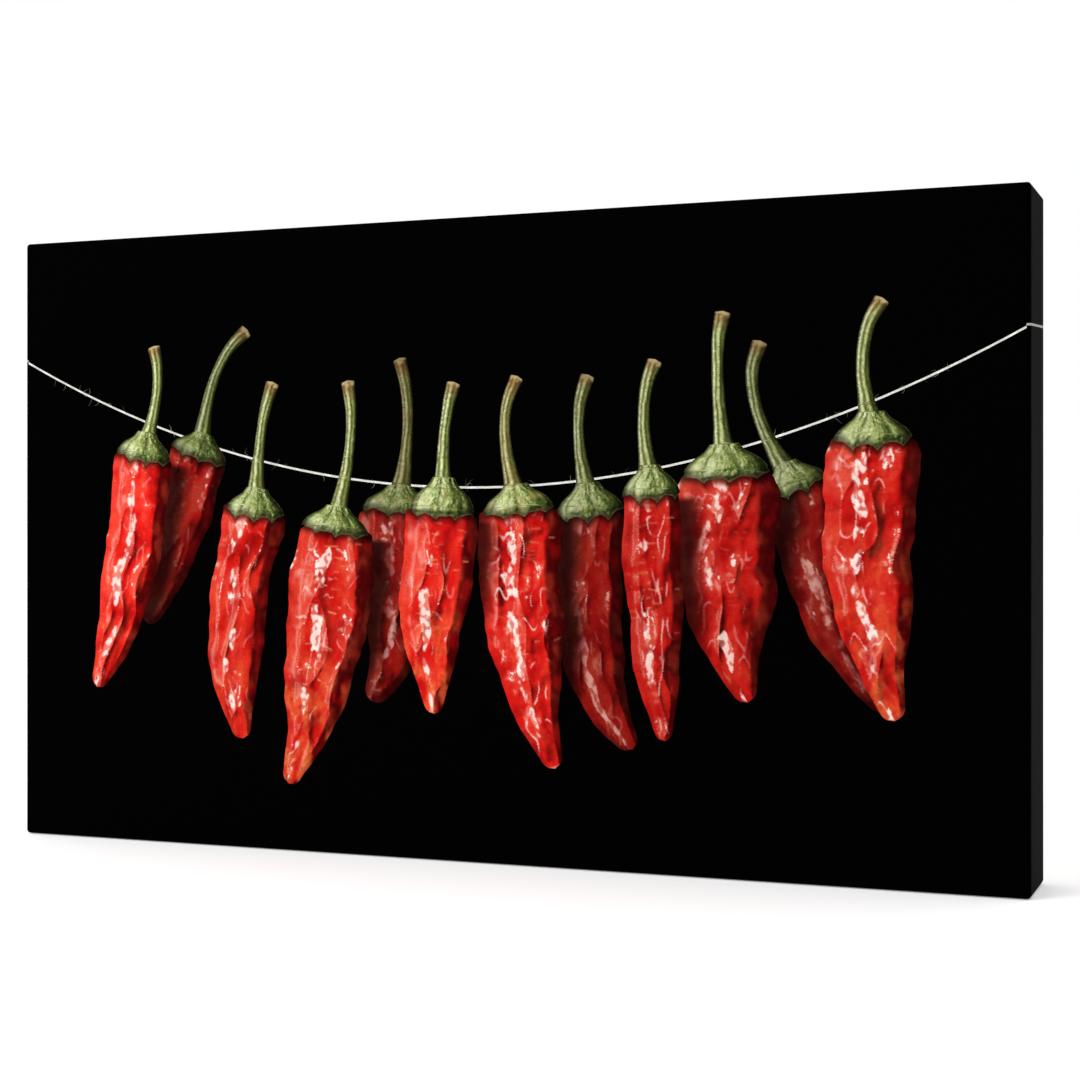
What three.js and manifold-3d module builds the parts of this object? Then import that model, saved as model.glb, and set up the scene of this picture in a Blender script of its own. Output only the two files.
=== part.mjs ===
// A gallery-wrapped canvas print: a sheet of printed canvas stretched over a deep wooden
// stretcher frame of four mitred bars, wrapped round its sides and stapled at the back.
//
// Units are millimetres. The print stands on its lower long side: +X runs to the right along
// the picture, +Z is up, and the picture faces -Y. The origin is on the floor, under the
// middle of the whole.

import * as THREE from "three";
import { mergeVertices } from "three/addons/utils/BufferGeometryUtils.js";
import Module from "manifold-3d";

// ---- Driving dimensions ------------------------------------------------------------------

const WIDTH = 500;
const HEIGHT = 300;
const DEPTH = 44; // from the picture's face to the crowns of the staples

const CANVAS_THICKNESS = 0.5;
const EDGE_RADIUS = 1.8; // of every outer edge that the canvas is bent round
const RETURN_WIDTH = 14; // how far the canvas is turned in over the back of the bars
const FIT_GAP = 0.3; // between pieces that touch

const BAR_WIDTH = 20;
const BEAD_WIDTH = 3.5; // the raised outer lip that alone carries the stretched sheet
const BEVEL_DROP = 4.5; // how far the bar falls away from the sheet at its inner side

const CROWN_LENGTH = 10;
const CROWN_WIDTH = 1.2;
const CROWN_HEIGHT = 0.7;
const STAPLE_PITCH = 70;
const STAPLES_ON_LONG_SIDE = 7;
const STAPLES_ON_SHORT_SIDE = 4;

const ROUND_STEPS = 4; // facets of each rounded edge
const LEAST_RADIUS = 0.05; // keeps the corners of a face's outline from closing up

// ---- Derived places ----------------------------------------------------------------------

const FACE_Y = -DEPTH / 2;
const BACK_Y = DEPTH / 2 - CROWN_HEIGHT - FIT_GAP; // outer face of the turned-in canvas
const SHELL = CANVAS_THICKNESS + FIT_GAP; // from the canvas's outer face to the wood
const BAR_DEPTH = BACK_Y - FACE_Y - 2 * SHELL;
const MIDDLE_Z = HEIGHT / 2;

// ---- Materials ---------------------------------------------------------------------------

const printedCanvas = new THREE.MeshStandardMaterial({
  color: 0x080808,
  roughness: 0.75,
  metalness: 0,
});
const pine = new THREE.MeshStandardMaterial({
  color: 0xd9b784,
  roughness: 0.7,
  metalness: 0,
});
const stapleSteel = new THREE.MeshStandardMaterial({
  color: 0xb9bcc0,
  roughness: 0.35,
  metalness: 1,
});

// ---- Solids ------------------------------------------------------------------------------

const wasm = await Module();
wasm.setup();

// A closed three.js geometry as a manifold-3d solid.
function toSolid(geometry) {
  const bare = geometry.index ? geometry.toNonIndexed() : geometry.clone();
  bare.deleteAttribute("normal");
  bare.deleteAttribute("uv");
  const merged = mergeVertices(bare, 1e-4);
  return new wasm.Manifold(
    new wasm.Mesh({
      numProp: 3,
      vertProperties: merged.attributes.position.array,
      triVerts: new Uint32Array(merged.index.array),
    }),
  );
}

// A manifold-3d solid as a three.js geometry.
function toGeometry(solid) {
  const { numProp, vertProperties, triVerts } = solid.getMesh();
  const count = vertProperties.length / numProp;
  const points = new Float32Array(count * 3);
  for (let i = 0; i < count; i++)
    points.set(vertProperties.subarray(i * numProp, i * numProp + 3), i * 3);
  const geometry = new THREE.BufferGeometry();
  geometry.setAttribute("position", new THREE.BufferAttribute(points, 3));
  geometry.setIndex(new THREE.BufferAttribute(triVerts, 1));
  const faceted = geometry.toNonIndexed();
  faceted.computeVertexNormals();
  return faceted;
}

// The outline of a rectangle with round corners, anticlockwise as seen from the front.
function roundedRectangle(width, height, radius) {
  const points = [];
  for (let corner = 0; corner < 4; corner++) {
    const sideX = corner === 0 || corner === 3 ? 1 : -1;
    const sideZ = corner < 2 ? 1 : -1;
    for (let step = 0; step <= ROUND_STEPS; step++) {
      const angle = ((corner + step / ROUND_STEPS) * Math.PI) / 2;
      points.push([
        sideX * (width / 2 - radius) + radius * Math.cos(angle),
        sideZ * (height / 2 - radius) + radius * Math.sin(angle),
      ]);
    }
  }
  return points;
}

// The levels of a box's depth whose front and back edges are rounded: how far each level is
// drawn in from the outside, and its place along Y.
function roundedLevels(frontY, backY, radius) {
  const levels = [];
  for (let step = 0; step <= ROUND_STEPS; step++) {
    const angle = (step / ROUND_STEPS) * (Math.PI / 2);
    levels.push({
      inset: radius * (1 - Math.sin(angle)),
      y: frontY + radius * (1 - Math.cos(angle)),
    });
  }
  const back = levels.map(({ inset, y }) => ({ inset, y: backY - (y - frontY) }));
  return [...levels, ...back.reverse()];
}

// A closed box with all its edges rounded, stood on the floor and drawn in by `inset`.
function roundedBox(inset, radius) {
  const levels = roundedLevels(FACE_Y + inset, BACK_Y - inset, radius);
  const rings = levels.map((level) => {
    const drawn = 2 * (inset + level.inset);
    const corner = Math.max(radius - level.inset, LEAST_RADIUS);
    return roundedRectangle(WIDTH - drawn, HEIGHT - drawn, corner).map(
      ([x, z]) => [x, level.y, z + MIDDLE_Z],
    );
  });
  const perRing = rings[0].length;
  const positions = rings.flat(2);
  const frontCentre = positions.length / 3;
  positions.push(0, levels[0].y, MIDDLE_Z);
  const backCentre = frontCentre + 1;
  positions.push(0, levels.at(-1).y, MIDDLE_Z);

  const indices = [];
  const lastRing = (rings.length - 1) * perRing;
  for (let i = 0; i < perRing; i++) {
    const next = (i + 1) % perRing;
    for (let ring = 0; ring < rings.length - 1; ring++) {
      const here = ring * perRing;
      const above = here + perRing;
      indices.push(here + i, above + next, here + next);
      indices.push(here + i, above + i, above + next);
    }
    indices.push(frontCentre, i, next);
    indices.push(backCentre, lastRing + next, lastRing + i);
  }
  const geometry = new THREE.BufferGeometry();
  geometry.setAttribute("position", new THREE.Float32BufferAttribute(positions, 3));
  geometry.setIndex(indices);
  return geometry;
}

// The sheet: a thin tray that is open at the back, with its hem turned in over the bars.
function makeCanvas() {
  const opening = new THREE.BoxGeometry(
    WIDTH - 2 * RETURN_WIDTH,
    DEPTH,
    HEIGHT - 2 * RETURN_WIDTH,
  );
  opening.translate(0, BACK_Y, MIDDLE_Z);
  const outside = toSolid(roundedBox(0, EDGE_RADIUS));
  const inside = toSolid(roundedBox(CANVAS_THICKNESS, EDGE_RADIUS - CANVAS_THICKNESS));
  const tray = outside.subtract(inside).subtract(toSolid(opening));
  const mesh = new THREE.Mesh(toGeometry(tray), printedCanvas);
  mesh.name = "canvas";
  return mesh;
}

// One stretcher bar, lying along X with its outer side at Z = 0 and its inner side above.
// Its ends are cut at 45 degrees, so it gets shorter towards its inner side.
function makeBar(name, outerLength) {
  const section = new THREE.Shape();
  const ease = EDGE_RADIUS - CANVAS_THICKNESS;
  section.moveTo(0, ease);
  section.absarc(ease, ease, ease, Math.PI, 1.5 * Math.PI, false);
  section.lineTo(BEAD_WIDTH, 0);
  section.lineTo(BAR_WIDTH, BEVEL_DROP);
  section.lineTo(BAR_WIDTH, BAR_DEPTH);
  section.lineTo(ease, BAR_DEPTH);
  section.absarc(ease, BAR_DEPTH - ease, ease, 0.5 * Math.PI, Math.PI, false);

  const geometry = new THREE.ExtrudeGeometry(section, {
    depth: 1,
    bevelEnabled: false,
    curveSegments: ROUND_STEPS,
  });
  const position = geometry.getAttribute("position");
  const mitreGap = FIT_GAP * Math.SQRT1_2;
  for (let i = 0; i < position.count; i++) {
    const inward = position.getX(i);
    const deep = position.getY(i);
    const end = position.getZ(i) < 0.5 ? 1 : -1; // turned, not mirrored, from Z to X
    const along = end * (outerLength / 2 - inward - mitreGap);
    position.setXYZ(i, along, deep, inward);
  }
  geometry.computeVertexNormals();

  const bar = new THREE.Mesh(geometry, pine);
  bar.name = name;
  return bar;
}

// The four bars, each turned about Y so that its inner side faces the middle.
function makeFrame() {
  const frame = new THREE.Group();
  const outerWidth = WIDTH - 2 * SHELL;
  const outerHeight = HEIGHT - 2 * SHELL;
  const sides = [
    { name: "bar_bottom", length: outerWidth, x: 0, z: SHELL, turn: 0 },
    { name: "bar_right", length: outerHeight, x: outerWidth / 2, z: MIDDLE_Z, turn: -1 },
    { name: "bar_top", length: outerWidth, x: 0, z: HEIGHT - SHELL, turn: 2 },
    { name: "bar_left", length: outerHeight, x: -outerWidth / 2, z: MIDDLE_Z, turn: 1 },
  ];
  for (const side of sides) {
    const bar = makeBar(side.name, side.length);
    bar.position.set(side.x, FACE_Y + SHELL, side.z);
    bar.rotation.y = (side.turn * Math.PI) / 2;
    frame.add(bar);
  }
  return frame;
}

// The crown of a staple: a short flat wire with its shoulders bent down at both ends.
function makeStaple(name) {
  const crown = new THREE.Shape();
  const half = CROWN_LENGTH / 2;
  const bend = CROWN_HEIGHT;
  crown.moveTo(-half, 0);
  crown.lineTo(half, 0);
  crown.absarc(half - bend, 0, bend, 0, Math.PI / 2, false);
  crown.lineTo(bend - half, CROWN_HEIGHT);
  crown.absarc(bend - half, 0, bend, Math.PI / 2, Math.PI, false);
  const geometry = new THREE.ExtrudeGeometry(crown, {
    depth: CROWN_WIDTH,
    bevelEnabled: false,
    curveSegments: ROUND_STEPS,
  });
  geometry.translate(0, 0, -CROWN_WIDTH / 2);
  const staple = new THREE.Mesh(geometry, stapleSteel);
  staple.name = name;
  return staple;
}

// A row of staples down the middle of each turned-in hem.
function makeStaples() {
  const staples = new THREE.Group();
  const inset = SHELL + BAR_WIDTH / 2 - CROWN_WIDTH;
  const rows = [
    { side: "top", count: STAPLES_ON_LONG_SIDE, x: 0, z: HEIGHT - inset, along: [1, 0] },
    { side: "bottom", count: STAPLES_ON_LONG_SIDE, x: 0, z: inset, along: [1, 0] },
    { side: "left", count: STAPLES_ON_SHORT_SIDE, x: inset - WIDTH / 2, z: MIDDLE_Z, along: [0, 1] },
    { side: "right", count: STAPLES_ON_SHORT_SIDE, x: WIDTH / 2 - inset, z: MIDDLE_Z, along: [0, 1] },
  ];
  for (const row of rows)
    for (let i = 0; i < row.count; i++) {
      const offset = (i - (row.count - 1) / 2) * STAPLE_PITCH;
      const staple = makeStaple(`staple_${row.side}_${i + 1}`);
      staple.position.set(
        row.x + offset * row.along[0],
        BACK_Y + FIT_GAP,
        row.z + offset * row.along[1],
      );
      if (row.along[1]) staple.rotation.y = Math.PI / 2;
      staples.add(staple);
    }
  return staples;
}

// ---- The whole ---------------------------------------------------------------------------

const canvasPrint = new THREE.Group();
canvasPrint.add(makeCanvas(), makeFrame(), makeStaples());

export default canvasPrint;
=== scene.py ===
"""A gallery-wrapped canvas print of red chillies on a string, in a soft white studio.

Places are worked out in millimetres, with +X to the right along the picture, +Z up and the
picture facing -Y, and turned into metres when a mesh is made.
"""

import math

import bmesh
import bpy
import numpy as np
from mathutils.geometry import delaunay_2d_cdt
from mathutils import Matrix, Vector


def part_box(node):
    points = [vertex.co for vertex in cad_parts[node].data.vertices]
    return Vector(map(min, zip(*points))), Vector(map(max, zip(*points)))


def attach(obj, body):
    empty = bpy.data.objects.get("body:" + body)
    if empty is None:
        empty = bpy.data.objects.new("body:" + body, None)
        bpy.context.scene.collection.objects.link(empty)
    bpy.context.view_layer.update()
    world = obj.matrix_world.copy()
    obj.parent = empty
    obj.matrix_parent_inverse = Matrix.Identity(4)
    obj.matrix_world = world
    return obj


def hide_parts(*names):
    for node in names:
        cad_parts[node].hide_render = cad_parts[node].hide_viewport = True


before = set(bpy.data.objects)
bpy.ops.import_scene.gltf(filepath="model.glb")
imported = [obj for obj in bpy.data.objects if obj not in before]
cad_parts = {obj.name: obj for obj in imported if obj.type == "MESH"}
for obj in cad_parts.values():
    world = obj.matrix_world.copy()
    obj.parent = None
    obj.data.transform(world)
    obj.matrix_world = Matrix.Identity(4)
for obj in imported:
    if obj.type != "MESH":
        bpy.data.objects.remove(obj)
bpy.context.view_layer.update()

MM = 0.001


def add_object(name, data):
    """A new object of the scene, at the origin."""
    made = bpy.data.objects.new(name, data)
    bpy.context.scene.collection.objects.link(made)
    return made


# ---- Sizes of the canvas ----

canvas_low, canvas_high = (np.array(corner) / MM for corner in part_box("canvas"))
HALF_WIDTH = (canvas_high[0] - canvas_low[0]) / 2
HALF_HEIGHT = (canvas_high[2] - canvas_low[2]) / 2
MIDDLE_Z = (canvas_high[2] + canvas_low[2]) / 2
FRONT_Y = canvas_low[1]
BACK_Y = canvas_high[1]

EDGE_RADIUS = 1.8
SHEET_THICKNESS = 0.4
FOLD_RELIEF = 0.3  # how far the tucked corner folds stand proud of the top and bottom
HEM_FOLD_RELIEF = 0.6  # how far the mitred folds stand proud of the hem
HEM_WIDTH = 14.0
INKED_HEM = 6.0  # how much of the turned-in hem is still printed
SHARP_CORNER = 0.05
SIDE_DEPTH = BACK_Y - FRONT_Y

PRINT_SPACING = 0.5  # between the mesh points that carry the picture's finest details
COLOUR_TOLERANCE = 0.095  # of full brightness, for leaving out a point of the picture
INNER_SPACING = 12.0  # between the mesh points on the back of the sheet

BLACK_INK = np.array([1.2, 1.2, 1.3]) / 255
RAW_CLOTH = np.array([226, 220, 206]) / 255
STRING_ON_SIDE = np.array([176, 174, 168]) / 255
INK_STRENGTH = 0.86

# ---- Noise ----


def lattice(ix, iy, seed):
    """A repeatable random number from 0 to 1 for each whole-numbered point."""
    mixed = (ix * 374761393 + iy * 668265263 + seed * 974634777) & 0xFFFFFFFF
    mixed = ((mixed ^ (mixed >> 13)) * 1274126177) & 0xFFFFFFFF
    return ((mixed ^ (mixed >> 16)) & 0xFFFF) / 0xFFFF


def noise(x, y, seed):
    """Smooth gradient noise from 0 to 1, whose features are about one unit across."""
    x, y = np.broadcast_arrays(x, y)
    ix, iy = np.floor(x).astype(np.int64), np.floor(y).astype(np.int64)
    fx, fy = x - ix, y - iy

    def slope(right, up):
        angle = 2 * math.pi * lattice(ix + right, iy + up, seed)
        return np.cos(angle) * (fx - right) + np.sin(angle) * (fy - up)

    ease_x = fx * fx * fx * (fx * (6 * fx - 15) + 10)
    ease_y = fy * fy * fy * (fy * (6 * fy - 15) + 10)
    low = slope(0, 0) * (1 - ease_x) + slope(1, 0) * ease_x
    high = slope(0, 1) * (1 - ease_x) + slope(1, 1) * ease_x
    return np.clip(0.5 + 0.75 * (low * (1 - ease_y) + high * ease_y), 0, 1)


def fractal(x, y, seed, octaves=3):
    """Noise with finer noise on top, from 0 to 1."""
    total, weight = 0.0, 0.0
    for octave in range(octaves):
        finer, share = 2**octave, 0.5**octave
        total = total + share * noise(x * finer, y * finer, seed + 17 * octave)
        weight += share
    return total / weight


def ease(start, end, x):
    """0 at start, 1 at end and smooth between, whichever of them is the larger."""
    t = np.clip((x - start) / (end - start), 0, 1)
    return t * t * (3 - 2 * t)


# ---- Colours of the picture ----


def colour(red, green, blue):
    return np.array([red, green, blue], float) / 255


def mix(a, b, share):
    share = np.asarray(share, float)[..., None]
    return a * (1 - share) + b * share


def layered(paint, *layers):
    """The paint with each layer, a colour and its share, laid over the ones before."""
    for tint, share in layers:
        paint = mix(paint, colour(*tint), share)
    return paint


def unit(*direction):
    return np.array(direction, float) / np.linalg.norm(direction)


# Directions are to the right, up and towards the viewer.
KEY_LIGHT = unit(-0.52, 0.42, 0.74)


def relief_of(height, points, step=0.3):
    """The unit normals of a height that stands above the picture's plane."""
    here = height(points)
    right = (height(points + (step, 0)) - here) / step
    up = (height(points + (0, step)) - here) / step
    normal = np.stack([-right, -up, np.ones_like(right)], 1)
    return normal / np.linalg.norm(normal, axis=1)[:, None]


def softbox(normal, centre, half_size, blur):
    """How much of a rectangular lamp a glossy surface mirrors, from 0 to 1."""
    mirrored = 2 * normal[:, 2:] * normal[:, :2]
    off = np.abs(mirrored - centre)
    inside = [ease(half_size[k] + blur, half_size[k] - blur, off[:, k]) for k in (0, 1)]
    return inside[0] * inside[1]


# ---- Lines that have a width ----

LINE_POINTS = 6


def through(values, at):
    """A smooth curve through evenly spaced values, read at places from 0 to 1."""
    values = np.asarray(values, float)
    before, after = 2 * values[:1] - values[1:2], 2 * values[-1:] - values[-2:-1]
    padded = np.concatenate([before, values, after])
    place = np.clip(at, 0, 1) * (len(values) - 1)
    i = np.minimum(place.astype(int), len(values) - 2)
    t = place - i
    if values.ndim > 1:
        t = t[:, None]
    a, b, c, d = (padded[i + k] for k in range(4))
    return b + 0.5 * t * (c - a + t * (2 * a - 5 * b + 4 * c - d + t * (3 * (b - c) + d - a)))


class Strand:
    """A line with a width that changes along it, such as a pod or a stalk."""

    STEPS = 140

    def __init__(self, points, half_widths, seed, ripple, rounding):
        self.half_widths = half_widths
        self.seed = seed
        self.ripple = ripple
        self.rounding = rounding
        fine = through(points, np.linspace(0, 1, 6 * self.STEPS))
        run = np.concatenate([[0], np.cumsum(np.hypot(*np.diff(fine, axis=0).T))])
        self.length = run[-1]
        even = np.linspace(0, self.length, self.STEPS)
        self.line = np.stack([np.interp(even, run, fine[:, k]) for k in (0, 1)], 1)
        heading = np.gradient(self.line, axis=0)
        self.heading = heading / np.hypot(*heading.T)[:, None]
        turn = math.copysign(1, -self.heading[:, 1].sum())
        self.right = turn * np.stack([-self.heading[:, 1], self.heading[:, 0]], 1)

    def half_width(self, s, side):
        """Half the width at s, from 0 to 1 along the line, on the left (-1) or right (1)."""
        u = s * self.length
        lump = 2 * noise(u / 22, side * 7.3, self.seed) - 1
        bump = 2 * noise(u / 7, side * 5.1, self.seed + 5) - 1
        width = through(self.half_widths, s) * (1 + self.ripple * (lump + 0.35 * bump))
        return np.maximum(width, 0.4)

    def outline(self):
        """The closed outline, anticlockwise, with both ends rounded."""
        s = np.linspace(0, 1, 110)
        centre, right = through(self.line, s), through(self.right, s)
        to_end = np.clip(np.minimum(s, 1 - s) * self.length / self.rounding, 0, 1)
        round_off = np.sqrt(1 - (1 - to_end) ** 2)
        edges = [
            centre + side * (self.half_width(s, side) * round_off)[:, None] * right
            for side in (-1, 1)
        ]
        return np.concatenate([edges[0][:-1], edges[1][:0:-1]])

    def local(self, points):
        """Where points lie: s along, t across from -1 to 1, and the half width there."""
        parts = np.array_split(points, len(points) // 20000 + 1)  # to save memory
        nearest = [((part[:, None] - self.line) ** 2).sum(2).argmin(1) for part in parts]
        s = np.concatenate(nearest) / (self.STEPS - 1)
        for _ in range(2):
            rest = points - through(self.line, s)
            s = np.clip(s + (rest * through(self.heading, s)).sum(1) / self.length, 0, 1)
        across = ((points - through(self.line, s)) * through(self.right, s)).sum(1)
        left, right = self.half_width(s, -1), self.half_width(s, 1)
        return s, across / np.where(across < 0, left, right), (left + right) / 2

    def drawn_in(self, points, margin=0.7):
        """The points, with those at the outline moved inside it, where the relief is smooth."""
        s, t, half_width = self.local(points)
        past = np.maximum(np.abs(t) * half_width - (half_width - margin), 0)
        return points - (past * np.sign(t))[:, None] * through(self.right, s)

    def covers(self, points):
        s, t, _ = self.local(points)
        return (np.abs(t) < 0.97) & (s > 0.01) & (s < 0.99)


# ---- Where the string hangs ----

STRING_HALF_WIDTH = 0.5
STRING_LOW = 0.58 * 2 * HALF_HEIGHT  # its height in the middle, where it hangs lowest
STRING_SAG = 0.22 * 2 * HALF_HEIGHT  # how much higher it is at the picture's sides
STRING_RISE_ON_SIDE = 2.8  # across the wrapped side


def string_height(x):
    """The height of the sagging string, x to the right of the middle."""
    return STRING_LOW + STRING_SAG * (np.asarray(x) / HALF_WIDTH) ** 2


# ---- A chilli ----


class Pod(Strand):
    """The red body of a chilli: glossy, dried and folded."""

    UNDER_CAP = 4.0  # how far the body reaches up behind its cap

    def __init__(self, chilli):
        spine = chilli.spine.copy()
        spine[0] += self.UNDER_CAP * unit(*(spine[0] - spine[1]))
        super().__init__(spine, chilli.half_widths, chilli.seed, 0.12, 4.0)
        self.chilli = chilli

    def height(self, points):
        s, t, half_width = self.local(points)
        u, v = s * self.length, t * half_width
        seed = self.seed
        rounded = 0.60 * half_width * np.sqrt(1 - np.minimum(np.abs(t), 1) ** 2.4)
        bend = v + 9 * (noise(u / 24, 0 * u, seed + 3) - 0.5)
        valley = 1 - np.abs(2 * noise(bend / 13, u / 50, seed + 6) - 1)
        lump = noise(v / 17, u / 22, seed)
        rough = self.chilli.wrinkled
        dent = (0.5 + rough) * fractal(v / 7, u / 9, seed + 9, 2)
        crease = 0.15 + 1.5 * ease(0.62, 1, s) + rough
        wrinkle = crease * noise(bend / 3, u / 11, seed + 21)
        pucker = (ease(0.25, 0.05, s) + rough) * noise(v / 12, u / 2.4, seed + 33)
        inside = ease(1, 0.6, np.abs(t))
        relief = 3 * valley**3 + 7.5 * lump + 2.2 * dent + 0.6 * wrinkle + 0.3 * pucker
        return rounded + inside * relief

    def skin(self, u, v, s, tone):
        """The colour of the skin before its gloss."""
        seed, chilli = self.seed, self.chilli
        patch = fractal(v / 9, u / 14, seed + 41)
        ripe = ease(0.42, 0.62, fractal(v / 7, u / 16, seed + 47))
        ripe = (0.15 + 0.85 * ease(0.3, 0.9, s)) * ripe
        streak = ease(0.55, 0.75, noise(v / 1.3 + u / 9, u / 9, seed + 57))
        spot = ease(0.62, 0.75, fractal(v / 3.5, u / 4, seed + 59, 2))
        speck = ease(0.80, 0.92, noise(v / 1.1, u / 1.1, seed + 53))
        paint = layered(
            colour(66, 3, 4),
            ((202, 24, 20), ease(0.08, 0.68, tone)),
            ((216, 60, 46), 0.9 * ease(0.68, 1.0, tone)),
            ((150, 8, 10), 0.55 * ease(0.5, 0.72, patch)),
            ((232, 84, 52), 0.3 * ease(0.5, 0.25, patch)),
            ((232, 104, 52), 0.85 * chilli.orange * ripe),
            ((214, 128, 78), 0.5 * chilli.orange * ripe * streak),
            ((120, 30, 14), 0.7 * chilli.orange * ripe * spot),
            ((250, 150, 120), 0.4 * speck * tone),
        )
        return paint * (0.92 + 0.16 * noise(v / 1.3, u / 1.6, seed + 51))[:, None]

    def scars(self, u, v, s):
        """Short pale dashes that run across the pod, in no order."""
        shown = np.zeros(len(u))
        draw = np.random.default_rng(self.seed)
        for _ in range(26):
            centre_u = self.length * draw.uniform(0.06, 0.62)
            centre_v = draw.normal(0.1, 0.5) * 13
            long, tilt = draw.uniform(0.8, 3.2), draw.normal(0, 0.12)
            off_u = u - centre_u - tilt * (v - centre_v)
            near = ease(0.55, 0.15, np.abs(off_u)) * ease(long, 0.6 * long, np.abs(v - centre_v))
            shown = np.maximum(shown, near * draw.uniform(0.4, 1))
        return shown

    def paint(self, points):
        points = self.drawn_in(points)
        normal = relief_of(self.height, points)
        s, t, half_width = self.local(points)
        u, v = s * self.length, t * half_width
        facing = normal @ KEY_LIGHT
        light = min(self.chilli.light, 1)
        lit = self.chilli.lit(points)
        turned = ease(1.08, 0.78, t)  # the right edge turns away from the light
        paint = self.skin(u, v, s, np.clip(0.12 + facing, 0, 1))
        if self.chilli.scarred:
            paint = mix(paint, colour(222, 150, 104), self.chilli.scarred * self.scars(u, v, s))
        shade = (0.12 + 0.88 * lit) * (0.62 + 0.38 * turned)
        paint = paint * (self.chilli.light * shade)[:, None]
        sheen = ease(0.86, 1, facing) * lit * light
        paint = mix(paint, colour(244, 130, 104), 0.22 * sheen * ease(1, 0.75, s))
        broken = 0.25 + 0.75 * ease(0.40, 0.52, noise(v / 2.4, u / 3.4, self.seed + 71))
        middle = 0.5 * (noise(u / 25, 0 * u, self.seed + 77) - 0.5) - 0.28
        band = ease(0.40, 0.05, np.abs(t - middle))
        size = 1.5 - 0.8 * self.chilli.wrinkled
        splash = fractal(v / (6 * size), u / (10 * size), self.seed + 81, 3)
        splash = ease(0.49, 0.55, band * splash + 0.02)
        line = np.abs(noise(v / 6, u / 13, self.seed + 91) - 0.5)
        curl = ease(0.045, 0.015, line) * ease(0.52, 0.66, noise(v / 8, u / 12, self.seed + 95))
        curl = curl * (0.35 + 0.6 * self.chilli.wrinkled)
        gloss = (
            1.20 * softbox(normal, (-0.46, 0.36), (0.15, 0.17), 0.06) * broken
            + 0.90 * splash * (0.2 + 0.8 * broken)
            + curl * ease(0.85, 0.5, np.abs(t + 0.1))
            + 0.50 * softbox(normal, (0.10, 0.76), (0.40, 0.05), 0.06) * broken
            + 0.40 * softbox(normal, (-0.90, 0.0), (0.05, 0.30), 0.06)
        )
        return mix(paint, colour(255, 238, 228), np.clip(gloss, 0, 1) * lit**2 * light**1.5)


class Stalk(Strand):
    """The ribbed green stalk of a chilli."""

    HALF_WIDTHS = (6.2, 3.9, 3.0, 2.7, 3.0, 3.6)

    def __init__(self, chilli):
        super().__init__(chilli.stalk_line, self.HALF_WIDTHS, chilli.seed + 400, 0.09, 1.2)
        self.chilli = chilli

    def paint(self, points):
        s, t, _ = self.local(points)
        u, t, seed = s * self.length, np.clip(t, -1, 1), self.seed
        dry = self.chilli.dry
        wander = 3.0 * noise(u / 16, 0 * u, seed) + 1.4 * noise(u / 6, t, seed + 3)
        ribs = 0.5 + 0.5 * np.cos(8 * np.arcsin(t) + wander + seed)
        lit = np.clip(0.80 * np.sqrt(1 - t * t) - 0.60 * t, 0, 1)
        tone = 0.38 * lit + 0.62 * ribs * (0.3 + 0.7 * lit)
        fibre = noise(u / 7, t * 5, seed + 13)
        faded = ease(0.45, 0.8, fractal(u / 9, t * 1.5, seed + 5, 2))
        paint = layered(
            colour(38, 46, 18),
            ((128, 146, 72), ease(0.05, 0.6, tone)),
            ((206, 216, 150), ease(0.45, 0.8, tone)),
            ((238, 242, 204), 0.85 * ease(0.75, 0.95, tone)),
            ((84, 74, 36), 0.45 * ease(0.6, 0.8, fibre)),
            ((190, 168, 104), (0.15 + 0.5 * dry) * faded),
        )
        ragged = s + 0.05 * (noise(u / 2, t * 2, seed + 23) - 0.5)
        brown = np.clip(0.6 * dry + 0.8 * ease(0.84, 0.97, ragged), 0, 1)
        paint = mix(paint, colour(140, 96, 54) * (0.5 + 0.7 * tone)[:, None], 0.8 * brown)
        paint = mix(paint, colour(206, 182, 134), 0.8 * ease(0.955, 0.985, ragged))
        paint = paint * (0.82 + 0.36 * noise(u / 1.6, t * 3, seed + 11))[:, None]
        rounded = 0.45 + 0.55 * ease(1, 0.7, np.abs(t))
        return paint * (rounded * self.chilli.green)[:, None]


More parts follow.
